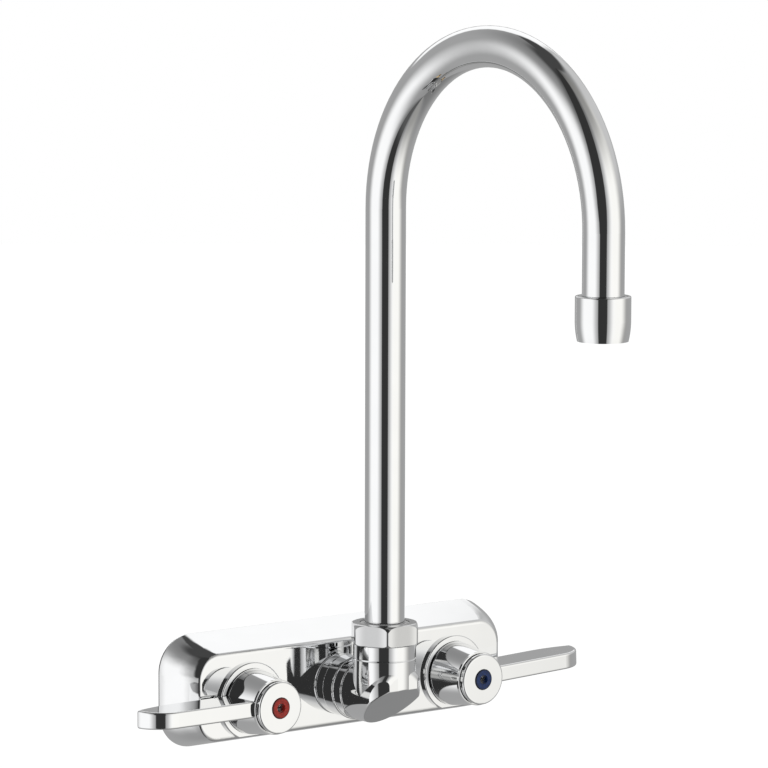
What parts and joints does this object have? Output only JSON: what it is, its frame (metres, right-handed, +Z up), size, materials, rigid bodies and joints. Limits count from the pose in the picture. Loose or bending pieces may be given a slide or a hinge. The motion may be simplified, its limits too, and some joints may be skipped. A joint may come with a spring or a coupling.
{
  "type": "bar sink faucet",
  "caption": "Wall-mounted mixing faucet with lever handles, a swivelling gooseneck spout and threaded inlet shanks; the levers open ceramic valves.",
  "frame": {"origin": "on the wall plane at the back of the wall gasket, midway between the two inlets, at the height of the valve axes", "axes": "+Z up along the spout's swivel axis, +Y into the wall along the inlet shanks, +X to the right as seen from in front, where the cold valve is"},
  "size_m": [0.2176, 0.2044, 0.2856],
  "materials": {
    "body_chrome": "polished chrome plate over cast brass",
    "elbow_chrome": "polished chrome plate over forged brass",
    "nut_chrome": "polished chrome plate",
    "tube_chrome": "polished chrome plate over drawn brass tube",
    "lever_chrome": "polished chrome plate over cast zinc",
    "aerator_chrome": "polished chrome plate",
    "shank_brass": "threaded, as machined",
    "turned_brass": "turned bright",
    "zinc_steel": "zinc plated",
    "spring_steel": "stainless, bright",
    "seal_rubber": "matt moulded",
    "foam": "closed-cell foam",
    "ceramic": "lapped",
    "bushing_plastic": "moulded grey",
    "aerator_plastic": "moulded white",
    "hot_index": "dark red, glossy",
    "cold_index": "dark blue, glossy"
  },
  "bodies": {
    "faucet": {"faucet_body": "body_chrome", "wall_gasket": "foam", "shank_seals": "seal_rubber", "panel_washers": "zinc_steel", "panel_nuts": "shank_brass", "spout_elbow": "elbow_chrome", "elbow_o_ring": "seal_rubber", "adapter_seal": "seal_rubber", "spout_adapter": "elbow_chrome", "spout_nut": "nut_chrome", "hot_inlet_shank": "shank_brass", "hot_seat_seal": "seal_rubber", "hot_fixed_disc": "ceramic", "hot_bonnet_gasket": "seal_rubber", "hot_bonnet": "turned_brass", "cold_inlet_shank": "shank_brass", "cold_seat_seal": "seal_rubber", "cold_fixed_disc": "ceramic", "cold_bonnet_gasket": "seal_rubber", "cold_bonnet": "turned_brass"},
    "spout": {"spout_tube": "tube_chrome", "spout_sleeve": "turned_brass", "spout_o_rings": "seal_rubber", "swivel_bushing": "bushing_plastic", "outlet_ferrule": "tube_chrome", "aerator_washer": "seal_rubber", "aerator_insert": "aerator_plastic", "aerator_screen": "spring_steel", "aerator_housing": "aerator_chrome"},
    "hot_handle": {"hot_turning_disc": "ceramic", "hot_stem": "turned_brass", "hot_stem_o_rings": "seal_rubber", "hot_stem_clip": "spring_steel", "hot_lever_handle": "lever_chrome", "hot_handle_screw": "spring_steel", "hot_index_ring": "hot_index"},
    "cold_handle": {"cold_turning_disc": "ceramic", "cold_stem": "turned_brass", "cold_stem_o_rings": "seal_rubber", "cold_stem_clip": "spring_steel", "cold_lever_handle": "lever_chrome", "cold_handle_screw": "spring_steel", "cold_index_ring": "cold_index"}
  },
  "joints": [
    {"name": "spout_swivel", "type": "hinge", "parent": "faucet", "child": "spout", "pos_m": [0, -0.0397, 0], "axis": [0, 0, 1], "range_deg": [-100, 100]},
    {"name": "hot_handle_turn", "type": "hinge", "parent": "faucet", "child": "hot_handle", "pos_m": [-0.0508, 0, 0], "axis": [0, -1, 0], "range_deg": [0, 90]},
    {"name": "cold_handle_turn", "type": "hinge", "parent": "faucet", "child": "cold_handle", "pos_m": [0.0508, 0, 0], "axis": [0, 1, 0], "range_deg": [0, 90]}
  ]
}
